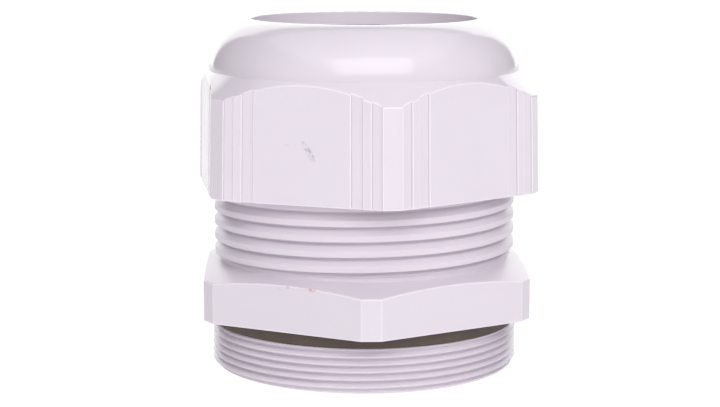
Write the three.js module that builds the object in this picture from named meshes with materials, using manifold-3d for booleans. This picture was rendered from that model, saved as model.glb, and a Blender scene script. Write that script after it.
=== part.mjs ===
// Plastic cable gland, size M63 x 1.5: a hexagon body with two threads, sixteen gripping fingers moulded
// on its top, a rubber sealing bush inside them, a dome nut with a slip ring, and an entry gasket.
// Millimetres, +Z up along the cable, origin at the centre of the bottom end face.
import * as THREE from "three";
import { mergeVertices } from "three/addons/utils/BufferGeometryUtils.js";
import Module from "manifold-3d";

const wasm = await Module();
wasm.setup();

// ---- Driving dimensions ----
const SIDES = 40; // facets round every turned surface and thread
const DEG = Math.PI / 180;
const GAP = 0.3; // clearance between touching pieces

// Entry thread M63 x 1.5 and the gasket neck above it
const ENTRY = { crest: 31.5, root: 30.58, pitch: 1.5, top: 9.3, phase: 1.54, lead: 1.2 };
const NECK_RADIUS = 29.9;
const GASKET = { outer: 31.3, inner: NECK_RADIUS + GAP };

// Hexagon of the body; a shallow recess round the gasket leaves its seating face outside it
const HEX = { bottom: 11.9, flat: 32.76, corner: 36.7, coneRadius: 29.8, coneTop: 22.1, cornerTop: 20.15 };
const RECESS = { radius: 31.9, depth: 0.2 };

// Coarse thread that the dome nut runs on, a saw-tooth form with a steep lower flank
const NUT_THREAD = { crest: 31.0, root: 29.8, pitch: 3.0, phase: 24.2, start: 22.9, end: 43.0 };
const CREST_LAND = 1.15;
const UPPER_FLANK = 1.2;
const ROOT_LAND = 0.3;

// Bores: the cable passage, and the seat of the sealing bush at the top of the body
const BORE = 23.0;
const SEAT = { radius: 25.3, floor: 38.0 };

// Sealing bush: its bore takes the largest cable, 45 mm
const BUSH = { inner: 22.5, outer: 25.0, bottom: SEAT.floor + GAP, top: 56.0 };

// Fingers: each turns about a thin root, and the nut's cone presses its tip inwards
const FINGERS = { count: 16, hingeRadius: 27.0, lean: 2.8, rootAngle: 10.6, tipAngle: 9.4, height: 13.0 };

// Dome nut, turned on its thread from the body's corners
const NUT = { bottom: 37.2, flat: 32.82, corner: 36.7, turn: 6.4, draft: 0.0006, draftHeight: 50 };
const GRIP = { depth: 0.3, edges: [10.2, 12.6, 14.4, 16.5] };
const CHAMFER = { flatTop: 60.2, slope: 0.92 };
const DOME = { radius: 31.85, arc: 11.0, top: 71.5 };
const CONE = { bottom: 55.5, bottomRadius: 28.28, slope: 0.207, top: 69.7 };
const OPENING = { radius: 23.2, lip: 0.4 };
// The opening's wall hangs down as a skirt in front of the slip ring's pocket.
const SKIRT = { outer: 23.9, bottom: 68.6 };
// The thread inside the nut: the radii of its ridge and mouth, and how far its groove is widened.
const NUT_GROOVE = { minor: 30.25, mouth: 31.6, lead: 1.2, play: 0.22, flankPlay: [0.15, 0.1], endGap: 0.4 };

// Slip ring under the nut's shoulder: it keeps the turning nut off the bush
const SLIP_RING = { inner: 24.1, outer: 25.1, bottom: 68.5, thickness: 0.9 };

// ---- Solid helpers ----

// A manifold solid from a closed three.js geometry; triangles with a repeated corner are dropped.
function solidFrom(geometry) {
  const bare = geometry.clone().deleteAttribute("normal").deleteAttribute("uv");
  const merged = mergeVertices(bare, 1e-4);
  const corners = merged.index.array;
  const kept = [];
  for (let i = 0; i < corners.length; i += 3) {
    const [a, b, c] = [corners[i], corners[i + 1], corners[i + 2]];
    if (a !== b && b !== c && a !== c) kept.push(a, b, c);
  }
  const vertProperties = merged.attributes.position.array;
  return new wasm.Manifold(new wasm.Mesh({ numProp: 3, vertProperties, triVerts: new Uint32Array(kept) }));
}

function geometryFrom(solid) {
  const mesh = solid.getMesh();
  const geometry = new THREE.BufferGeometry();
  geometry.setAttribute("position", new THREE.BufferAttribute(mesh.vertProperties, 3));
  geometry.setIndex(new THREE.BufferAttribute(mesh.triVerts, 1));
  const flatShaded = geometry.toNonIndexed();
  flatShaded.computeVertexNormals();
  return flatShaded;
}

// A turned solid: the profile is [radius, height] pairs, anticlockwise, ending on the axis or closed.
function turned(profile) {
  const points = profile.map(([radius, height]) => new THREE.Vector2(radius, height));
  if (profile[0][0] > 0) points.push(points[0].clone());
  return solidFrom(new THREE.LatheGeometry(points, SIDES).rotateX(Math.PI / 2));
}

// An upright prism over a plan outline.
function prism(outline, bottom, top) {
  const shape = new THREE.Shape(outline.map(([x, y]) => new THREE.Vector2(x, y)));
  const extrusion = new THREE.ExtrudeGeometry(shape, { depth: top - bottom, bevelEnabled: false });
  return solidFrom(extrusion.translate(0, 0, bottom));
}

// A right-hand threaded rod between two heights. The form lists [height, radius] corners of one pitch,
// measured where the helix crosses the -Y side; heights outside the rod are pulled onto its end faces.
function threadedRod(form, pitch, bottom, top) {
  const firstTurn = Math.floor((bottom - form[0][0]) / pitch) - 1;
  const lastTurn = Math.ceil((top - form[0][0]) / pitch) + 1;
  const ridge = [];
  for (let turn = firstTurn; turn <= lastTurn; turn++) {
    for (const [height, radius] of form) ridge.push([height + turn * pitch, radius]);
  }
  const radiusAt = (z, rise) => {
    const next = ridge.findIndex(([height]) => height + rise > z);
    const [low, high] = [ridge[next - 1], ridge[next]];
    const share = (z - rise - low[0]) / (high[0] - low[0]);
    return low[1] + share * (high[1] - low[1]);
  };
  const positions = [];
  const point = (radius, column, z) => {
    const angle = (column / SIDES) * 2 * Math.PI - Math.PI / 2;
    return [radius * Math.cos(angle), radius * Math.sin(angle), z];
  };
  const onRidge = (row, column) => {
    const rise = (column / SIDES) * pitch;
    const [height, radius] = ridge[row];
    const z = Math.min(Math.max(height + rise, bottom), top);
    return point(z === height + rise ? radius : radiusAt(z, rise), column, z);
  };
  const axis = (z) => [0, 0, z];
  for (let column = 0; column < SIDES; column++) {
    const rows = ridge.length - 1;
    for (let row = 0; row < rows; row++) {
      const [a, b] = [onRidge(row, column), onRidge(row, column + 1)];
      const [c, d] = [onRidge(row + 1, column + 1), onRidge(row + 1, column)];
      positions.push(...a, ...b, ...c, ...a, ...c, ...d);
    }
    positions.push(...onRidge(0, column + 1), ...onRidge(0, column), ...axis(bottom));
    positions.push(...onRidge(rows, column), ...onRidge(rows, column + 1), ...axis(top));
  }
  const geometry = new THREE.BufferGeometry();
  geometry.setAttribute("position", new THREE.Float32BufferAttribute(positions, 3));
  return solidFrom(geometry);
}

// Plan outline with six-fold symmetry: each side is a list of [distance from the centre, distance along
// the flat] corners, given for a flat that faces +X.
function sixSided(side) {
  const outline = [];
  for (let flat = 0; flat < 6; flat++) {
    const angle = flat * 60 * DEG;
    for (const [out, along] of side) {
      const x = out * Math.cos(angle) - along * Math.sin(angle);
      const y = out * Math.sin(angle) + along * Math.cos(angle);
      outline.push([x, y]);
    }
  }
  return outline;
}

// Where a flat meets the strip that cuts off the hexagon's corner.
const stripEdge = (flat, corner) => (corner - flat * Math.cos(30 * DEG)) / Math.sin(30 * DEG);

// ---- Body ----

function hexagon() {
  const edge = stripEdge(HEX.flat, HEX.corner);
  const outline = sixSided([[HEX.flat, -edge], [HEX.flat, edge]]);
  const rim = HEX.corner + 1;
  const coneSlope = (HEX.coneTop - HEX.cornerTop) / (HEX.corner - HEX.coneRadius);
  const rimTop = HEX.cornerTop - coneSlope;
  const envelope = turned([
    [0, HEX.bottom], [rim, HEX.bottom], [rim, rimTop], [HEX.coneRadius, HEX.coneTop], [0, HEX.coneTop],
  ]);
  const { radius, depth } = RECESS;
  const recess = turned([
    [0, HEX.bottom - 1], [radius, HEX.bottom - 1], [radius, HEX.bottom + depth], [0, HEX.bottom + depth],
  ]);
  return prism(outline, HEX.bottom, HEX.coneTop + 1).intersect(envelope).subtract(recess);
}

// The ISO 60 degree form: an eighth-pitch crest and a quarter-pitch root.
function entryThread() {
  const { crest, root, pitch, top, phase, lead } = ENTRY;
  const flank = pitch * (1 - 1 / 8 - 1 / 4) / 2;
  const form = [[phase, crest], [phase + pitch / 8, crest], [phase + pitch / 8 + flank, root],
    [phase + pitch - flank, root]];
  const envelope = turned([
    [0, 0], [crest - lead, 0], [crest, lead], [crest, top - GAP], [crest - GAP, top], [0, top],
  ]);
  return threadedRod(form, pitch, -1, top + 1).intersect(envelope);
}

function nutThreadForm(crest, root, bottomClearance, topClearance) {
  const { phase } = NUT_THREAD;
  const landEnd = phase + CREST_LAND;
  return [
    [phase - bottomClearance, crest],
    [landEnd + topClearance, crest],
    [landEnd + UPPER_FLANK + topClearance, root],
    [landEnd + UPPER_FLANK + ROOT_LAND - bottomClearance, root],
  ];
}

function nutThread() {
  const { crest, root, pitch, start, end } = NUT_THREAD;
  const runOut = crest - root;
  const envelope = turned([
    [0, start - 1], [root, start - 1], [root, start - 0.4], [crest, start + 0.4], [crest, end - runOut],
    [root, end], [0, end],
  ]);
  return threadedRod(nutThreadForm(crest, root, 0, 0), pitch, start - 1.5, end + 1).intersect(envelope);
}

function bodySolid() {
  const { lead, crest, root, top } = ENTRY;
  const foot = crest - lead;
  const core = turned([
    [0, 0], [foot, 0], [root, root - foot], [root, top], [NECK_RADIUS, top], [NECK_RADIUS, HEX.bottom + 1],
    [NUT_THREAD.root, HEX.bottom + 1], [NUT_THREAD.root, NUT_THREAD.end], [0, NUT_THREAD.end],
  ]);
  const passage = turned([
    [0, -1], [BORE, -1], [BORE, SEAT.floor], [SEAT.radius, SEAT.floor],
    [SEAT.radius, NUT_THREAD.end + 1], [0, NUT_THREAD.end + 1],
  ]);
  return core.add(entryThread()).add(hexagon()).add(nutThread()).subtract(passage);
}

// ---- Dome nut ----

function nutHexagon() {
  const [g1, g2, g3, g4] = GRIP.edges;
  const edge = stripEdge(NUT.flat, NUT.corner);
  const floor = NUT.flat - GRIP.depth;
  const halfSide = [
    [NUT.flat, g1], [floor, g1], [floor, g2], [NUT.flat, g2], [NUT.flat, g3], [floor, g3],
    [floor, g4], [NUT.flat, edge],
  ];
  const mirrored = halfSide.map(([out, along]) => [out, -along]).reverse();
  const outline = sixSided([...mirrored, ...halfSide]);
  const rim = NUT.corner + 1;
  const coneAt = (radius) => CHAMFER.flatTop - CHAMFER.slope * (radius - NUT.flat);
  const inset = DOME.radius - 0.5;
  const envelope = turned([
    [0, NUT.bottom], [rim, NUT.bottom], [rim, coneAt(rim)], [inset, coneAt(inset)], [0, coneAt(inset)],
  ]);
  const drafted = prism(outline, NUT.bottom, coneAt(inset) + 1).warp((vertex) => {
    const spread = 1 + NUT.draft * (NUT.draftHeight - vertex[2]);
    vertex[0] *= spread;
    vertex[1] *= spread;
  });
  return drafted.intersect(envelope);
}

// The dome's arc leaves its cylinder without a break and ends at the rim of the opening.
function dome() {
  const steps = 7;
  const centre = DOME.radius - DOME.arc;
  const rimAngle = Math.acos((OPENING.radius + OPENING.lip - centre) / DOME.arc);
  const spring = DOME.top - DOME.arc * Math.sin(rimAngle);
  const profile = [[0, NUT.bottom + 10], [DOME.radius, NUT.bottom + 10]];
  for (let step = 0; step <= steps; step++) {
    const angle = (step / steps) * rimAngle;
    profile.push([centre + DOME.arc * Math.cos(angle), spring + DOME.arc * Math.sin(angle)]);
  }
  return turned([...profile, [0, DOME.top]]);
}

function nutCavity() {
  const { minor, mouth, lead } = NUT_GROOVE;
  const coneTopRadius = CONE.bottomRadius - CONE.slope * (CONE.top - CONE.bottom);
  const lipStart = DOME.top - OPENING.lip;
  return turned([
    [0, NUT.bottom - 1], [mouth, NUT.bottom - 1], [mouth, NUT.bottom], [minor, NUT.bottom + lead],
    [minor, CONE.bottom - 0.2], [CONE.bottomRadius, CONE.bottom], [coneTopRadius, CONE.top],
    [SKIRT.outer, CONE.top], [SKIRT.outer, SKIRT.bottom], [OPENING.radius, SKIRT.bottom],
    [OPENING.radius, lipStart], [OPENING.radius + OPENING.lip, DOME.top],
    [OPENING.radius + OPENING.lip, DOME.top + 1], [0, DOME.top + 1],
  ]);
}

function nutSolid() {
  const { minor, play, flankPlay, endGap } = NUT_GROOVE;
  const groove = nutThreadForm(NUT_THREAD.crest + GAP, minor, play, 0.0);
  groove[2][0] -= flankPlay[0];
  groove[3][0] += flankPlay[1];
  const thread = threadedRod(groove, NUT_THREAD.pitch, NUT.bottom - 1, CONE.bottom - endGap);
  const turnedHex = nutHexagon().rotate([0, 0, NUT.turn]);
  return turnedHex.add(dome()).subtract(nutCavity()).subtract(thread);
}

// ---- Rings ----

const ringSolid = ({ inner, outer, bottom, top }) =>
  turned([[inner, bottom], [outer, bottom], [outer, top], [inner, top]]);

function bushSolid() {
  const { inner, outer, bottom, top } = BUSH;
  const lead = 0.8;
  return turned([
    [inner, bottom], [outer - lead, bottom], [outer, bottom + lead], [outer, top - lead],
    [outer - lead, top], [inner, top],
  ]);
}

// ---- Fingers ----

// One finger in its own frame: the origin on its root line, X outwards, Z up. Its sides lie on planes
// through the gland's axis, closer together at the tip, so that the closed fingers don't meet.
function fingerGeometry() {
  const { hingeRadius, rootAngle, tipAngle, height } = FINGERS;
  const section = [
    [-0.45, 0], [0.45, 0], [0.6, 1.1], [1.5, height - 0.4], [1.1, height], [-0.6, height],
    [-0.9, height - 0.3], [-0.9, 1.3],
  ];
  const slices = 4;
  const point = ([out, up], slice) => {
    const half = (rootAngle + (tipAngle - rootAngle) * (up / height)) * DEG;
    const angle = (slice / slices - 0.5) * 2 * half;
    const radius = hingeRadius + out;
    return [radius * Math.cos(angle) - hingeRadius, radius * Math.sin(angle), up];
  };
  const positions = [];
  for (let slice = 0; slice < slices; slice++) {
    section.forEach((corner, i) => {
      const next = section[(i + 1) % section.length];
      const [a, b] = [point(corner, slice), point(corner, slice + 1)];
      const [c, d] = [point(next, slice + 1), point(next, slice)];
      positions.push(...a, ...b, ...c, ...a, ...c, ...d);
    });
  }
  const outline = section.map(([out, up]) => new THREE.Vector2(out, up));
  for (const [a, b, c] of THREE.ShapeUtils.triangulateShape(outline, [])) {
    positions.push(...[a, b, c].flatMap((corner) => point(section[corner], 0)));
    positions.push(...[c, b, a].flatMap((corner) => point(section[corner], slices)));
  }
  const geometry = new THREE.BufferGeometry();
  geometry.setAttribute("position", new THREE.Float32BufferAttribute(positions, 3));
  return geometryFrom(solidFrom(geometry));
}

function fingerRing(material) {
  const ring = new THREE.Group();
  const geometry = fingerGeometry();
  for (let i = 0; i < FINGERS.count; i++) {
    const finger = new THREE.Mesh(geometry, material.clone());
    finger.name = `finger_${String(i + 1).padStart(2, "0")}`;
    finger.position.set(FINGERS.hingeRadius, 0, NUT_THREAD.end + GAP);
    finger.rotation.y = -FINGERS.lean * DEG;
    const arm = new THREE.Group();
    arm.rotation.z = (i / FINGERS.count) * 2 * Math.PI;
    arm.add(finger);
    ring.add(arm);
  }
  return ring;
}

// ---- Assembly ----

const lightGrey = (roughness) => new THREE.MeshStandardMaterial({ color: 0xdcd9de, roughness, metalness: 0 });
const darkRubber = (color) => new THREE.MeshStandardMaterial({ color, roughness: 0.8, metalness: 0 });

function piece(name, solid, material) {
  const mesh = new THREE.Mesh(geometryFrom(solid), material);
  mesh.name = name;
  return mesh;
}

const gasketHeights = { bottom: ENTRY.top + GAP, top: HEX.bottom + RECESS.depth - GAP };
const slipRingHeights = { top: SLIP_RING.bottom + SLIP_RING.thickness };
const gland = new THREE.Group();
gland.add(
  piece("gland_body", bodySolid(), lightGrey(0.45)),
  piece("dome_nut", nutSolid(), lightGrey(0.38)),
  piece("entry_gasket", ringSolid({ ...GASKET, ...gasketHeights }), darkRubber(0x4a4542)),
  piece("sealing_bush", bushSolid(), darkRubber(0x232325)),
  piece("slip_ring", ringSolid({ ...SLIP_RING, ...slipRingHeights }), lightGrey(0.5)),
  fingerRing(lightGrey(0.45)),
);

export default gland;
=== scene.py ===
import math

import bpy
import mathutils
import numpy as np
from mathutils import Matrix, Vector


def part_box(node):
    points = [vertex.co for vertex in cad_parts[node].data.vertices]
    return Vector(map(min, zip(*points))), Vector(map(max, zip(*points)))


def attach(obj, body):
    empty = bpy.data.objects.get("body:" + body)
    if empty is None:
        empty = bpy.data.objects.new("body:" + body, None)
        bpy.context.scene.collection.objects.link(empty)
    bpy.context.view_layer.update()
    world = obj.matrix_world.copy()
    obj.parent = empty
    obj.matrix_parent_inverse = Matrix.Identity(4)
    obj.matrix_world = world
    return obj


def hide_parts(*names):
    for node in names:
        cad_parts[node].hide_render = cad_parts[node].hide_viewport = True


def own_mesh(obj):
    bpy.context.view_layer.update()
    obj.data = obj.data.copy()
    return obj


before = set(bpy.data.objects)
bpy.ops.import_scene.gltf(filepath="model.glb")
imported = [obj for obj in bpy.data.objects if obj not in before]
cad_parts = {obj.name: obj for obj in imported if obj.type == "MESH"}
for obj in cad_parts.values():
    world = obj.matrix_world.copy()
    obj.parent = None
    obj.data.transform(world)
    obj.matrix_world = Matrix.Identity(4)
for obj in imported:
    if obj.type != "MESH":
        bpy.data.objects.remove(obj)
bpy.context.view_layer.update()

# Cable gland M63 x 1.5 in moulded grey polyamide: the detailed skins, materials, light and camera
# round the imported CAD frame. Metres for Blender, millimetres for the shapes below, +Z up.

MM = 0.001
NUT_BOX = [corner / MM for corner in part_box("dome_nut")]
BODY_BOX = [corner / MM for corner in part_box("gland_body")]

# ---- Sizes in millimetres, as in the CAD model ----
BORE = 23.0
SEAT_RADIUS, SEAT_FLOOR = 25.3, 38.0
BODY_TOP = BODY_BOX[1].z
ENTRY = {"crest": 31.5, "root": 30.58, "pitch": 1.5, "phase": 1.54, "low": 0.3, "high": 9.2, "lead": 1.2}
NECK_RADIUS, NECK_LOW = 29.9, 9.3
RECESS_RADIUS, RECESS_DEPTH = 31.9, 0.2
HEX = {
    "flat": 32.76, "corner": 36.7, "bottom": 11.9, "corner_top": 20.15, "cone_radius": 29.8, "cone_top": 22.1,
}
NUT_THREAD = {"crest": 31.0, "root": 29.8, "pitch": 3.0, "phase": 24.2, "low": 22.9, "high": 42.9}
CREST_LAND, UPPER_FLANK, ROOT_LAND = 1.15, 1.2, 0.3
NUT = {
    "flat": 32.82, "corner": 36.7, "bottom": NUT_BOX[0].z, "turn": 6.4, "draft": 0.0006, "draft_height": 50.0,
}
GRIP_EDGES, GRIP_DEPTH = (10.2, 12.6, 14.4, 16.5), 0.3
CHAMFER_TOP, CHAMFER_SLOPE = 60.2, 0.92
DOME_RADIUS, DOME_ARC, TOP = 31.85, 11.0, NUT_BOX[1].z
OPENING, LIP = 23.2, 0.4
CONE_LOW, CONE_LOW_RADIUS, CONE_SLOPE, POCKET_TOP = 55.5, 28.28, 0.207, 69.7
SKIRT_RADIUS, SKIRT_LOW = 23.9, 68.6
FINGER = {
    "count": 16, "radius": 27.0, "foot": BODY_TOP + 0.3, "height": 13.0,
    "lean": 2.8, "root": 10.6, "tip": 9.4,      # degrees
}
GASKET = {"outer": 31.3, "play": 0.08}
BUSH = {"inner": 22.5, "outer": 25.0, "top": 56.0, "rib": 0.35, "ribs": 5}
SLIP_RING = {"inner": 24.1, "outer": 25.15}

# ---- Fineness of the meshes ----
BODY_COLUMN_STEP, NUT_COLUMN_STEP = 0.62, 0.8
RING_COLUMNS, FINGER_SLICES, DOME_STEPS = 240, 10, 26
BODY_BEVEL, NUT_BEVEL, FINGER_BEVEL = 0.18, 0.15, 0.25
FULL_BEND = 12.0        # degrees: an outline's bend that counts as a full edge

# ---------------------------------------------------------------- outlines


def filleted(corners, closed=True, arc_step=15.0):
    """A polyline through (x, y, radius) corners with each corner rounded by its radius."""
    points = []
    count = len(corners)
    for i, (x, y, radius) in enumerate(corners):
        here = np.array((x, y), float)
        if radius == 0 or (not closed and i in (0, count - 1)):
            points.append(here)
            continue
        before = np.array(corners[i - 1][:2], float) - here
        after = np.array(corners[(i + 1) % count][:2], float) - here
        room = 0.49 * min(np.linalg.norm(before), np.linalg.norm(after))
        before /= np.linalg.norm(before)
        after /= np.linalg.norm(after)
        half = math.acos(float(np.clip(before @ after, -1, 1))) / 2
        if math.cos(half) < 1e-4:
            points.append(here)
            continue
        reach = min(radius / math.tan(half), room)
        radius = reach * math.tan(half)
        inward = (before + after) / np.linalg.norm(before + after)
        centre = here + inward * radius / math.sin(half)
        start, end = here + before * reach - centre, here + after * reach - centre
        sweep = math.pi - 2 * half
        steps = max(1, math.ceil(math.degrees(sweep) / arc_step))
        for k in range(steps + 1):
            a = sweep * k / steps
            weight_start = math.sin(sweep - a) / math.sin(sweep)
            weight_end = math.sin(a) / math.sin(sweep)
            points.append(centre + start * weight_start + end * weight_end)
    return np.array(points)


def subdivided(points, step, margin=0.12):
    """The same closed polyline with no stretch longer than step. Each long stretch gets a point just
    inside both of its ends."""
    result = []
    for a, b in zip(points, np.roll(points, -1, axis=0)):
        length = np.linalg.norm(b - a)
        if length > 4 * margin:
            inner = np.linspace(margin, length - margin, max(2, math.ceil(length / step)))
            shares = [0.0, *(inner / length)]
        else:
            shares = [0.0]
        result += [a + (b - a) * share for share in shares]
    return np.array(result)


def turns_of(outline):
    """How each point of a closed outline bends: above 0 where it's convex, below 0 where it's concave."""
    before = outline - np.roll(outline, 1, axis=0)
    after = np.roll(outline, -1, axis=0) - outline
    cross = before[:, 0] * after[:, 1] - before[:, 1] * after[:, 0]
    bend = np.degrees(np.arctan2(cross, (before * after).sum(1)))
    return np.clip(bend / FULL_BEND, -1, 1)


def six_sided(side, turn=0.0):
    """Corners of a plan with six-fold symmetry, from (out, along, radius) corners of one side. It starts
    with the side to the right of the corner that faces -Y, turned by the given degrees."""
    corners = []
    for k in range(6):
        angle = math.radians(-60 + 60 * k + turn)
        for out, along, radius in side:
            x = out * math.cos(angle) - along * math.sin(angle)
            y = out * math.sin(angle) + along * math.cos(angle)
            corners.append((x, y, radius))
    return corners


def strip_edge(flat, corner):
    """Where a flat meets the strip that cuts off the hexagon's corner, along the flat."""
    return (corner - flat * math.cos(math.radians(30))) / math.sin(math.radians(30))


# ---------------------------------------------------------------- skins


class Skin:
    """A closed surface of rows round the axis: each row is a ring, or a turn's line of a thread."""

    def __init__(self, angles, outline=None, bends=None):
        self.angles = np.append(angles, angles[0] + 2 * math.pi)
        self.round_angles = np.minimum(np.maximum.accumulate(self.angles), self.angles[-1])
        self.outline = None if outline is None else np.append(outline, outline[0])
        self.bends = 0.0 if bends is None else np.append(bends, bends[0])
        self.rows = []
        self.painted_light = []          # painted light for each row: above 0 a painted highlight on edges, below 0 painted shade in grooves and corners

    def row(self, radius, height, roundness=0.0, painted_light=0.0):
        """A ring. roundness 0 keeps the outline's own angles; 1 evens out where they turn back."""
        angles = self.angles + (self.round_angles - self.angles) * roundness
        radius = np.broadcast_to(radius, angles.shape)
        height = np.broadcast_to(height, angles.shape)
        self.rows.append(np.stack([radius * np.cos(angles), radius * np.sin(angles), height], 1))
        self.painted_light.append(np.clip(np.broadcast_to(painted_light, angles.shape), -1, 1))

    def turned(self, path, painted_light=0.0):
        """Rings along a path of (radius, height) points."""
        for radius, height in path:
            self.row(radius, height, 1.0, painted_light)

    def thread(self, form, pitch, phase, low, high, limit=None, inside=False):
        """Lines of a right-hand thread between two heights, from the (height, radius) form of one pitch.
        limit gives the radius that the thread is cut back to at a height."""
        angles = self.round_angles
        rise = pitch * (angles + math.pi / 2) / (2 * math.pi)
        first = math.floor((low - phase - rise.max()) / pitch) - 1
        last = math.ceil((high - phase - rise.min()) / pitch) + 1
        rows = []
        deep, high_radius = form[:, 1].min(), form[:, 1].max()
        if inside:
            deep, high_radius = high_radius, deep
        for turn in range(first, last + 1):
            for height, _ in form:
                z = np.clip(phase + turn * pitch + height + rise, low, high)
                radius = np.interp((z - phase - rise) % pitch, form[:, 0], form[:, 1], period=pitch)
                if limit is not None:
                    cut = np.interp(z, limit[0], limit[1])
                    radius = np.maximum(radius, cut) if inside else np.minimum(radius, cut)
                depth = np.clip((high_radius - radius) / (high_radius - deep), 0, 1)
                points = np.stack([radius * np.cos(angles), radius * np.sin(angles), z], 1)
                near_end = np.clip(np.minimum(z - low, high - z), 0, 1)
                # painted shade: the deeper into a thread's root, the darker, fading out towards the thread's
                # ends
                rows.append((points, -(depth ** 8) * near_end))
        for points, painted_light in rows[::-1] if inside else rows:
            self.rows.append(points)
            self.painted_light.append(painted_light)

    def mesh(self, name):
        """A closed mesh in metres; equal points are merged and faces without area left out."""
        grid = np.array(self.rows + [self.rows[0]])
        count_rows, count_columns = grid.shape[:2]
        keys = np.round(grid.reshape(-1, 3), 4) + 0.0
        points, chosen, index = np.unique(keys, axis=0, return_index=True, return_inverse=True)
        painted_light = np.array(self.painted_light + [self.painted_light[0]]).reshape(-1)[chosen]
        index = index.reshape(count_rows, count_columns)
        quads = np.stack([index[:-1, :-1], index[:-1, 1:], index[1:, 1:], index[1:, :-1]], -1).reshape(-1, 4)
        faces = []
        for quad in quads.tolist():
            corners = [p for i, p in enumerate(quad) if p != quad[i - 1]]
            if len(set(corners)) == len(corners) >= 3:
                faces.append(corners)
        mesh = bpy.data.meshes.new(name)
        mesh.from_pydata((points * MM).tolist(), [], faces)
        mesh.update()
        mesh.attributes.new("painted_light", "FLOAT", "POINT").data.foreach_set("value", painted_light.astype(np.float32))
        return mesh


def even_columns(count):
    return -math.pi / 2 + 2 * math.pi * np.arange(count) / count


def columns_of(outline):
    """Angles and radii of an outline's points, the angles rising from the first point."""
    angles = np.unwrap(np.arctan2(outline[:, 1], outline[:, 0]))
    return angles, np.hypot(outline[:, 0], outline[:, 1])


def placed(mesh, name, body, material, slot, *nodes):
    """A new piece that rides on a body and stands for CAD nodes."""
    piece = bpy.data.objects.new(name, mesh)
    bpy.context.scene.collection.objects.link(piece)
    mesh.materials.clear()
    mesh.materials.append(material)
    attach(piece, body)
    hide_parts(*nodes)
    normals = piece.modifiers.new("normals", "WEIGHTED_NORMAL")
    normals.keep_sharp = True
    return piece


def smooth(mesh, angle=32.0):
    mesh.shade_smooth()
    mesh.set_sharp_from_angle(angle=math.radians(angle))


# ---------------------------------------------------------------- threads


def thread_form(corners, pitch, arc_step):
    """(height, radius) points of one pitch with rounded corners, from (height, radius, rounding)."""
    before = [(h - pitch, r, f) for h, r, f in corners]
    after = [(h + pitch, r, f) for h, r, f in corners]
    path = filleted(before[-1:] + corners + after[:1], closed=False, arc_step=arc_step)
    inside = path[1:-1]
    return np.array(sorted((h % pitch, r) for h, r in inside))


def entry_form():
    pitch, crest, root = ENTRY["pitch"], ENTRY["crest"], ENTRY["root"]
    flank = pitch * (1 - 1 / 8 - 1 / 4) / 2
    land, mid = pitch / 8, (crest + 2 * root) / 3
    corners = [
        (0.0, crest, 0.05), (land, crest, 0.05), (land + 2 * flank / 3, mid, 0), (land + flank, root, 0.1),
        (pitch - flank, root, 0.1), (pitch - 2 * flank / 3, mid, 0),
    ]
    return thread_form(corners, pitch, 90.0)


def nut_thread_form(crest, root, below=0.0, arc_step=30.0):
    pitch, land = NUT_THREAD["pitch"], CREST_LAND
    corners = [
        (-below, crest, 0.12),
        (land, crest, 0.25),
        (land + 0.7 * UPPER_FLANK, crest + 0.7 * (root - crest), 0),
        (land + UPPER_FLANK, root, 0.2),
        (pitch - ROOT_LAND - below - 0.05, root, 0.1),
    ]
    return thread_form(corners, pitch, arc_step)


# ---------------------------------------------------------------- body


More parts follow.
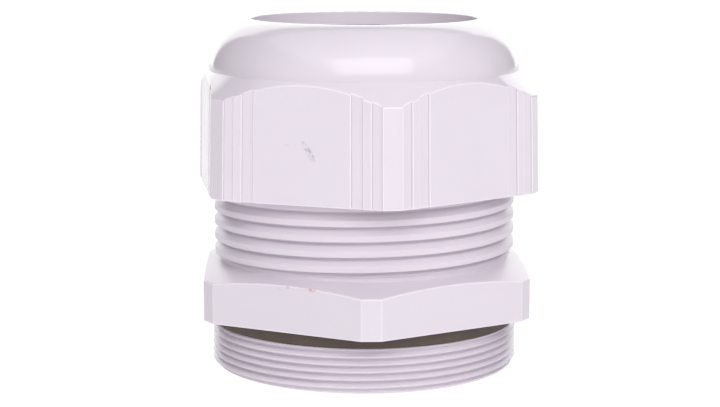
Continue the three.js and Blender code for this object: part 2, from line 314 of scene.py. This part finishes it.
def body_mesh():
    edge = strip_edge(HEX["flat"], HEX["corner"])
    corners = six_sided([(HEX["flat"], -edge, 0.35), (HEX["flat"], edge, 0.35)])
    plan = subdivided(filleted(corners), BODY_COLUMN_STEP)
    skin = Skin(*columns_of(plan), turns_of(plan))
    # how strongly each column is painted lighter at convex corners: a painted highlight
    bends = 0.7 * skin.bends

    skin.turned(filleted([(BORE, 3, 0), (BORE, 0, 0.5), (29.98, 0, 0)], closed=False))
    crest, lead = ENTRY["crest"], ENTRY["lead"]
    high = ENTRY["high"]
    limit = ([0, lead, high - 0.35, high], [crest - lead, crest, crest, crest - 0.4])
    skin.thread(entry_form(), ENTRY["pitch"], ENTRY["phase"], ENTRY["low"], high, limit)

    bottom = HEX["bottom"]
    recess = bottom + RECESS_DEPTH
    skin.turned([(30.6, NECK_LOW), (NECK_RADIUS, NECK_LOW), (NECK_RADIUS, recess), (RECESS_RADIUS, recess),
                 (RECESS_RADIUS, bottom)])

    bevel = BODY_BEVEL
    slope = (HEX["cone_top"] - HEX["corner_top"]) / (HEX["corner"] - HEX["cone_radius"])
    outline = skin.outline

    def cone(radius):
        return HEX["corner_top"] + slope * (HEX["corner"] - radius)

    # painted highlights: the hexagon's bevel rows are painted lighter, its corners lighter along the walls
    for inset, lift in ((bevel, 0), (0.3 * bevel, 0.1 * bevel), (0, bevel)):
        skin.row(outline - inset, bottom + lift, painted_light=0.5)
    top = cone(outline)
    skin.row(outline, bottom + 2 * bevel, painted_light=bends)
    for share in (0.35, 0.7):
        skin.row(outline, bottom + bevel + (top - 2 * bevel - bottom) * share, painted_light=bends)
    skin.row(outline, top - 1.8 * bevel, painted_light=bends)
    for inset, drop in ((0, bevel), (0.25 * bevel, 0.25 * bevel)):
        skin.row(outline - inset, top - drop, painted_light=0.8)
    skin.row(outline - bevel, cone(outline - bevel), painted_light=0.3)
    skin.row(outline - 1.6 * bevel, cone(outline - 1.6 * bevel))
    foot = HEX["cone_radius"] + 0.25
    for share in (0.25, 0.5, 0.75, 1.0):
        radius = outline - 1.6 * bevel + (foot - outline + 1.6 * bevel) * share
        skin.row(radius, cone(radius), share)
    foot_radius, foot_height = HEX["cone_radius"], HEX["cone_top"]
    skin.turned([(foot_radius + 0.06, foot_height + 0.06), (foot_radius, foot_height + 0.3)])

    low, high = NUT_THREAD["low"], NUT_THREAD["high"]
    crest, root = NUT_THREAD["crest"], NUT_THREAD["root"]
    limit = ([low, low + 0.7, high - (crest - root), high], [root, crest, crest, root])
    skin.thread(nut_thread_form(crest, root), NUT_THREAD["pitch"], NUT_THREAD["phase"], low, high, limit)
    skin.turned(filleted([(29.6, BODY_TOP, 0), (SEAT_RADIUS, BODY_TOP, 0.3), (SEAT_RADIUS, SEAT_FLOOR, 0.3),
                          (BORE, SEAT_FLOOR, 0.4), (BORE, SEAT_FLOOR - 4, 0)], closed=False))
    mesh = skin.mesh("gland_body_skin")
    smooth(mesh)
    return mesh


# ---------------------------------------------------------------- dome nut


def nut_mesh():
    g1, g2, g3, g4 = GRIP_EDGES
    floor = NUT["flat"] - GRIP_DEPTH
    edge = strip_edge(NUT["flat"], NUT["corner"])
    half = [
        (NUT["flat"], g1, 0.12), (floor, g1, 0.08), (floor, g2, 0.08), (NUT["flat"], g2, 0.1),
        (NUT["flat"], g3, 0.1), (floor, g3, 0.08), (floor, g4, 0.08), (NUT["flat"], edge, 0.18),
    ]
    side = [(out, -along, radius) for out, along, radius in reversed(half)] + half
    plan = subdivided(filleted(six_sided(side, NUT["turn"]), arc_step=45.0), NUT_COLUMN_STEP)
    skin = Skin(*columns_of(plan), turns_of(plan))
    outline, bends = skin.outline, skin.bends

    def spread(z):
        return 1 + NUT["draft"] * (NUT["draft_height"] - z)

    def cone(radius):
        return CHAMFER_TOP - CHAMFER_SLOPE * (radius - NUT["flat"])

    bottom, bevel = NUT["bottom"], NUT_BEVEL
    mouth = NUT_THREAD["crest"] + 0.6
    skin.row(mouth, bottom + 0.25, 1.0)
    skin.row(mouth + 0.25, bottom, 1.0)
    widest = outline * spread(bottom)
    # painted highlights on the bevel rows and convex corners, painted shade in the grips' concave corners
    for inset, lift in ((bevel, 0), (0.3 * bevel, 0.1 * bevel), (0, bevel)):
        skin.row(widest - inset, bottom + lift, painted_light=0.6)
    skin.row(widest, bottom + 2 * bevel, painted_light=bends)
    top = cone(outline * spread(58))
    for share in (0.25, 0.5, 0.75):
        z = bottom + bevel + (top - 2 * bevel - bottom) * share
        skin.row(outline * spread(z), z, painted_light=bends)
    narrow = outline * spread(top)
    skin.row(narrow, top - 1.6 * bevel, painted_light=bends)
    skin.row(narrow, top - bevel, painted_light=0.6)
    skin.row(narrow - 0.3 * bevel, top - 0.3 * bevel, painted_light=0.8)
    skin.row(narrow - bevel, cone(narrow - bevel), painted_light=0.2)
    skin.row(narrow - 1.6 * bevel, cone(narrow - 1.6 * bevel))
    foot = DOME_RADIUS
    for share in (0.25, 0.5, 0.75, 1.0):
        radius = narrow - 1.6 * bevel + (foot - narrow + 1.6 * bevel) * share
        skin.row(radius, cone(radius), share)

    centre = DOME_RADIUS - DOME_ARC
    rim_angle = math.acos((OPENING + LIP - centre) / DOME_ARC)
    spring = TOP - DOME_ARC * math.sin(rim_angle)
    start = math.asin(max(0.0, (cone(DOME_RADIUS) + 0.15 - spring) / DOME_ARC))
    for k in range(DOME_STEPS + 1):
        a = start + (rim_angle - 0.02 - start) * k / DOME_STEPS
        skin.row(centre + DOME_ARC * math.cos(a), spring + DOME_ARC * math.sin(a), 1.0)
    lip_path = [(OPENING + LIP + 0.2, TOP - 0.06, 0), (OPENING, TOP + 0.02, 0.75), (OPENING, SKIRT_LOW, 0.15),
                (SKIRT_RADIUS, SKIRT_LOW, 0.15), (SKIRT_RADIUS, POCKET_TOP, 0.2)]
    cone_top_radius = CONE_LOW_RADIUS - CONE_SLOPE * (POCKET_TOP - CONE_LOW)
    minor = NUT_THREAD["root"] + 0.45
    lip_path += [(cone_top_radius, POCKET_TOP, 0.3), (CONE_LOW_RADIUS, CONE_LOW, 0.3),
                 (minor, CONE_LOW - 0.15, 0.2)]
    # painted light: the opening's lip, skirt, pocket and inner cone are painted lighter
    skin.turned(filleted(lip_path + [(minor, CONE_LOW - 0.4, 0)], closed=False, arc_step=12.0), painted_light=0.9)
    form = nut_thread_form(NUT_THREAD["crest"] + 0.3, minor, 0.22, arc_step=90.0)
    limit = ([bottom + 0.3, bottom + 1.6], [mouth, 0.0])
    pitch, phase = NUT_THREAD["pitch"], NUT_THREAD["phase"]
    skin.thread(form, pitch, phase, bottom + 0.4, CONE_LOW - 0.5, limit, inside=True)
    mesh = skin.mesh("dome_nut_skin")
    smooth(mesh)
    return mesh


# ---------------------------------------------------------------- rings and fingers


def ring_mesh(name, path):
    skin = Skin(even_columns(RING_COLUMNS))
    skin.turned(filleted(path))
    mesh = skin.mesh(name)
    smooth(mesh)
    return mesh


def gasket_mesh():
    low, high = NECK_LOW + GASKET["play"], HEX["bottom"] + RECESS_DEPTH - GASKET["play"]
    inner, outer = NECK_RADIUS + 0.1, GASKET["outer"]
    path = [(inner, low, 0.1), (outer, low, 0.3), (outer, high, 0.3), (inner, high, 0.1)]
    return ring_mesh("entry_gasket_skin", path)


def bush_mesh():
    """The sealing bush: rounded ends, and low sealing ribs round its bore."""
    low, high = SEAT_FLOOR + 0.1, BUSH["top"]
    inner, outer, groove = BUSH["inner"], BUSH["outer"], BUSH["inner"] + BUSH["rib"]
    path = [
        (outer - 0.2, low, 0.3), (outer, low + 1.0, 0.6), (outer, high - 0.6, 0.5), (outer - 0.5, high, 0.4),
        (inner + 0.3, high, 0.4),
    ]
    for z in np.linspace(high - 2.0, low + 2.5, BUSH["ribs"]):
        path += [(groove, z + 1.1, 0.4), (inner, z + 0.5, 0.3), (inner, z - 0.5, 0.3), (groove, z - 1.1, 0.4)]
    path += [(inner + 0.3, low, 0.3)]
    return ring_mesh("sealing_bush_skin", path)


def slip_ring_mesh():
    low, high = (corner.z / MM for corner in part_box("slip_ring"))
    inner, outer = SLIP_RING["inner"], SLIP_RING["outer"]
    path = [(inner, low, 0.2), (outer, low, 0.2), (outer, high, 0.2), (inner, high, 0.2)]
    return ring_mesh("slip_ring_skin", path)


def finger_mesh(azimuth):
    """One gripping finger with rounded edges, in its place round the axis."""
    radius, height = FINGER["radius"], FINGER["height"]
    section = filleted([
        (-0.45, -0.05, 0), (0.45, -0.05, 0), (0.62, 1.1, 0.5), (1.5, height - 1.0, 0.7), (1.1, height, 0.35),
        (-0.7, height, 0.3), (-0.9, height - 0.6, 0.3), (-0.9, 1.2, 0.8),
    ])
    slices = FINGER_SLICES
    lean = math.radians(FINGER["lean"])
    rows = []
    for out, up in section:
        half = math.radians(FINGER["root"] + (FINGER["tip"] - FINGER["root"]) * max(up, 0) / height)
        angles = np.linspace(-half, half, slices + 1)
        x = (radius + out) * np.cos(angles) - radius
        y = (radius + out) * np.sin(angles)
        leaned_x = x * math.cos(lean) - up * math.sin(lean) + radius
        leaned_z = up * math.cos(lean) + x * math.sin(lean) + FINGER["foot"]
        turned_x = leaned_x * math.cos(azimuth) - y * math.sin(azimuth)
        turned_y = leaned_x * math.sin(azimuth) + y * math.cos(azimuth)
        rows.append(np.stack([turned_x, turned_y, leaned_z], 1))
    count, width = len(rows), slices + 1
    points = np.concatenate(rows)
    faces = []
    for i in range(count):
        j = (i + 1) % count
        for k in range(slices):
            faces.append((i * width + k, i * width + k + 1, j * width + k + 1, j * width + k))
    faces.append([i * width for i in range(count)])
    faces.append([i * width + slices for i in reversed(range(count))])
    mesh = bpy.data.meshes.new("finger_skin")
    mesh.from_pydata((points * MM).tolist(), [], faces)
    mesh.update()
    return mesh


# ---------------------------------------------------------------- materials


def node(tree, kind, **inputs):
    made = tree.nodes.new(kind)
    for key, value in inputs.items():
        made.inputs[key.replace("_", " ")].default_value = value
    return made


def noise(tree, coordinates, scale, detail=2.0, roughness=0.5):
    made = node(tree, "ShaderNodeTexNoise", Scale=scale, Detail=detail, Roughness=roughness)
    tree.links.new(coordinates, made.inputs["Vector"])
    return made.outputs["Fac"]


def ranged(tree, value, low, high, from_low=0.3, from_high=0.7):
    """The value mapped from its usual range to another."""
    made = node(tree, "ShaderNodeMapRange")
    made.inputs["From Min"].default_value = from_low
    made.inputs["From Max"].default_value = from_high
    made.inputs["To Min"].default_value = low
    made.inputs["To Max"].default_value = high
    tree.links.new(value, made.inputs["Value"])
    return made.outputs["Result"]


def mixed(tree, factor, colour_a, colour_b):
    made = tree.nodes.new("ShaderNodeMix")
    made.data_type = "RGBA"
    tree.links.new(factor, made.inputs["Factor"])
    for value, socket in ((colour_a, made.inputs[6]), (colour_b, made.inputs[7])):
        if isinstance(value, tuple):
            socket.default_value = (*value, 1)
        else:
            tree.links.new(value, socket)
    return made.outputs[2]


def bumped(tree, height, strength, distance, normal=None):
    made = node(tree, "ShaderNodeBump", Strength=strength, Distance=distance)
    tree.links.new(height, made.inputs["Height"])
    if normal is not None:
        tree.links.new(normal, made.inputs["Normal"])
    return made.outputs["Normal"]


def new_material(name):
    material = bpy.data.materials.new(name)
    material.use_nodes = True
    tree = material.node_tree
    shader = tree.nodes["Principled BSDF"]
    position = tree.nodes.new("ShaderNodeTexCoord").outputs["Object"]
    return material, tree, shader, position


def streak(tree, position, start, end, width):
    """A mask that is 1 along a line between two points (millimetres) and fades to 0 at the given width."""
    start, end = np.array(start) * MM, np.array(end) * MM
    along = end - start
    turn = mathutils.Vector(along).to_track_quat("X", "Z").to_euler()
    mapping = tree.nodes.new("ShaderNodeMapping")
    mapping.vector_type = "TEXTURE"
    mapping.inputs["Location"].default_value = (start + end) / 2
    mapping.inputs["Rotation"].default_value = turn
    mapping.inputs["Scale"].default_value = (np.linalg.norm(along) / 2, width * MM, width * MM)
    tree.links.new(position, mapping.inputs["Vector"])
    ball = tree.nodes.new("ShaderNodeTexGradient")
    ball.gradient_type = "SPHERICAL"
    tree.links.new(mapping.outputs["Vector"], ball.inputs["Vector"])
    return ball.outputs["Fac"]


def moulded_plastic(name, colour, shade, roughness, marks=()):
    """Moulded polyamide: cloudy colour, fine grain, slow waviness, painted shade in grooves and corners,
    painted highlights on edges and painted light in the nut's opening.
    marks are (start, end, width, colour, strength) streaks of dirt."""
    spread, grain = 0.05, 0.05
    material, tree, shader, position = new_material(name)
    cloud = noise(tree, position, 55.0, 4.0, 0.6)
    speck = noise(tree, position, 2600.0, 2.0, 0.6)
    tone = mixed(tree, ranged(tree, cloud, 0.0, 1.0), colour, shade)
    tone = mixed(tree, ranged(tree, speck, 0.0, 0.10), tone, tuple(c * 0.88 for c in shade))
    painted_light_node = tree.nodes.new("ShaderNodeAttribute")
    painted_light_node.attribute_name = "painted_light"
    painted_shade_colour, painted_highlight_colour = tuple(c ** 1.8 for c in shade), tuple(min(0.95, c * 1.2) for c in colour)
    # painted shade where the per-vertex attribute is below 0, painted highlight where it is above 0
    tone = mixed(tree, ranged(tree, painted_light_node.outputs["Fac"], 0.75, 0.0, -1.0, 0.0), tone, painted_shade_colour)
    tone = mixed(tree, ranged(tree, painted_light_node.outputs["Fac"], 0.0, 0.9, 0.0, 1.0), tone, painted_highlight_colour)
    smear = noise(tree, position, 900.0, 4.0, 0.7)
    for start, end, width, dirt, strength in marks:
        broken = tree.nodes.new("ShaderNodeMath")
        broken.operation = "MULTIPLY"
        mask = streak(tree, position, start, end, width)
        tree.links.new(ranged(tree, mask, 0.0, strength, 0.0, 0.5), broken.inputs[0])
        tree.links.new(ranged(tree, smear, 0.0, 1.0, 0.42, 0.6), broken.inputs[1])
        tone = mixed(tree, broken.outputs[0], tone, dirt)
    tree.links.new(tone, shader.inputs["Base Color"])
    handled = noise(tree, position, 130.0, 5.0, 0.65)
    tree.links.new(ranged(tree, handled, roughness - spread, roughness + spread), shader.inputs["Roughness"])
    wavy = bumped(tree, noise(tree, position, 90.0, 1.0), 0.025, 0.0002)
    fine = bumped(tree, noise(tree, position, 1500.0, 3.0, 0.6), grain, 0.00004, wavy)
    tree.links.new(fine, shader.inputs["Normal"])
    shader.inputs["IOR"].default_value = 1.5
    return material


def moulded_rubber(name, colour, dust, roughness):
    """Rubber: dark, matt, dusty in patches, with a fine pitted surface."""
    material, tree, shader, position = new_material(name)
    patches = noise(tree, position, 160.0, 5.0, 0.7)
    tree.links.new(mixed(tree, ranged(tree, patches, 0.0, 1.0), colour, dust), shader.inputs["Base Color"])
    tree.links.new(ranged(tree, patches, roughness, roughness + 0.15), shader.inputs["Roughness"])
    pits = bumped(tree, noise(tree, position, 1100.0, 4.0, 0.7), 0.25, 0.00006)
    tree.links.new(pits, shader.inputs["Normal"])
    return material


# ---------------------------------------------------------------- the object

SMUDGE_GREY, SCRATCH_RED = (0.30, 0.29, 0.31), (0.62, 0.36, 0.34)
NUT_MARKS = [
    ((-13.1, -30.1, 49.9), (-10.5, -31.2, 45.7), 0.75, SMUDGE_GREY, 1.0),
    ((-16.9, -28.4, 48.9), (-13.4, -29.9, 48.8), 0.3, (0.62, 0.50, 0.55), 0.35),
]
BODY_MARKS = [
    ((-14.0, -29.7, 21.2), (-9.6, -32.2, 20.8), 0.4, SCRATCH_RED, 1.0),
    ((-17.9, -27.5, 21.0), (-17.2, -27.9, 20.2), 0.35, SCRATCH_RED, 1.0),
    ((-16.4, -28.3, 21.0), (-15.4, -28.9, 20.9), 0.3, SCRATCH_RED, 0.9),
]
NUT_GREY = moulded_plastic(
    "nut_polyamide", (0.750, 0.688, 0.762), (0.728, 0.664, 0.742), 0.14, marks=NUT_MARKS
)
BODY_GREY = moulded_plastic(
    "body_polyamide", (0.735, 0.676, 0.746), (0.713, 0.652, 0.726), 0.34, marks=BODY_MARKS
)
RING_WHITE = moulded_plastic("slip_ring_plastic", (0.74, 0.73, 0.70), (0.70, 0.69, 0.66), 0.35)
GASKET_RUBBER = moulded_rubber("gasket_rubber", (0.072, 0.049, 0.040), (0.108, 0.078, 0.064), 0.6)
BUSH_RUBBER = moulded_rubber("bush_rubber", (0.018, 0.018, 0.02), (0.045, 0.045, 0.048), 0.5)

placed(body_mesh(), "body_skin", "body", BODY_GREY, "body_plastic", "gland_body")
placed(nut_mesh(), "nut_skin", "nut", NUT_GREY, "nut_plastic", "dome_nut")
placed(gasket_mesh(), "gasket_skin", "body", GASKET_RUBBER, "gasket_rubber", "entry_gasket")
bush = placed(bush_mesh(), "bush_skin", "body", BUSH_RUBBER, "bush_rubber", "sealing_bush")
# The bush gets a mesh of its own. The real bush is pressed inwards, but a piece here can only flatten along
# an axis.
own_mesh(bush)
placed(slip_ring_mesh(), "slip_ring_skin", "slip_ring", RING_WHITE, "ring_plastic", "slip_ring")

for number in range(FINGER["count"]):
    name = f"finger_{number + 1:02d}"
    mesh = finger_mesh(2 * math.pi * number / FINGER["count"])
    piece = placed(mesh, name + "_skin", name, BODY_GREY, "body_plastic", name)
    edges = piece.modifiers.new("edges", "BEVEL")
    edges.width = FINGER_BEVEL * MM
    edges.segments = 3
    edges.limit_method = "ANGLE"
    edges.angle_limit = math.radians(50)
    piece.data.shade_smooth()
    piece.data.set_sharp_from_angle(angle=math.radians(35))

# ---------------------------------------------------------------- floor, light, camera


def white_floor(size, shade, glow):
    """A plain floor of a dark grey that glows white, so it's evenly white and shows no shadow."""
    bpy.ops.mesh.primitive_plane_add(size=size)
    plane = bpy.context.object
    plane.name = "floor"
    material = bpy.data.materials.new("floor_paper")
    material.use_nodes = True
    shader = material.node_tree.nodes["Principled BSDF"]
    shader.inputs["Base Color"].default_value = (shade, shade, shade, 1)
    shader.inputs["Roughness"].default_value = 0.9
    shader.inputs["Specular IOR Level"].default_value = 0.1
    shader.inputs["Emission Color"].default_value = (1, 1, 1, 1)
    shader.inputs["Emission Strength"].default_value = glow
    plane.data.materials.append(material)


def softbox(name, azimuth, elevation, distance, width, height, power):
    """An area light aimed at the gland's middle. Azimuth 0 is the camera's side, positive to the right."""
    data = bpy.data.lights.new(name, "AREA")
    data.shape = "RECTANGLE"
    data.size, data.size_y = width, height
    data.energy = power
    lamp = bpy.data.objects.new(name, data)
    bpy.context.scene.collection.objects.link(lamp)
    a, e = math.radians(azimuth), math.radians(elevation)
    out = np.array((math.sin(a) * math.cos(e), -math.cos(a) * math.cos(e), math.sin(e)))
    lamp.location = GLAND_MIDDLE + distance * out
    lamp.rotation_euler = (math.pi / 2 - e, 0, a)


GLAND_MIDDLE = np.array((0, 0, 0.04))
FLOOR_SIZE, FLOOR_SHADE = 4.0, 0.08
FLOOR_GLOW, WORLD_GLOW = 1.0, 0.06
SOFTBOXES = [
    # name, azimuth, elevation, distance, width, height, power
    ("front", 4.5, 31, 1.1, 1.12, 0.66, 6.6),
    ("fill", 4.0, 30, 1.6, 3.2, 2.6, 3.6),
    ("top", 4, 76, 1.1, 2.2, 2.2, 12.0),
    ("right", 80, 25, 1.1, 1.0, 1.0, 0.7),
    ("back", 178, 20, 1.6, 2.1, 1.5, 19.0),
]

white_floor(FLOOR_SIZE, FLOOR_SHADE, FLOOR_GLOW)

world = bpy.data.worlds.new("studio")
bpy.context.scene.world = world
world.use_nodes = True
background = world.node_tree.nodes["Background"]
background.inputs["Color"].default_value = (1, 1, 1, 1)
background.inputs["Strength"].default_value = WORLD_GLOW

for box in SOFTBOXES:
    softbox(*box)

CAMERA_TURN, CAMERA_LENS = math.radians(-2.05), 95.64
CAMERA_DISTANCE, CAMERA_SIDE, CAMERA_HEIGHT, CAMERA_PITCH = 0.39324, -0.00085, 0.0950, 8.975
camera_data = bpy.data.cameras.new("camera")
camera_data.sensor_width = 36.0
camera_data.lens = CAMERA_LENS
camera = bpy.data.objects.new("camera", camera_data)
bpy.context.scene.collection.objects.link(camera)
turn_cos, turn_sin = math.cos(CAMERA_TURN), math.sin(CAMERA_TURN)
camera.location = (
    CAMERA_SIDE * turn_cos + CAMERA_DISTANCE * turn_sin,
    CAMERA_SIDE * turn_sin - CAMERA_DISTANCE * turn_cos,
    CAMERA_HEIGHT,
)
camera.rotation_euler = (math.radians(90 - CAMERA_PITCH), 0, CAMERA_TURN)
bpy.context.scene.camera = camera
bpy.context.scene.view_settings.view_transform = "Standard"
bpy.context.scene.view_settings.look = "None"
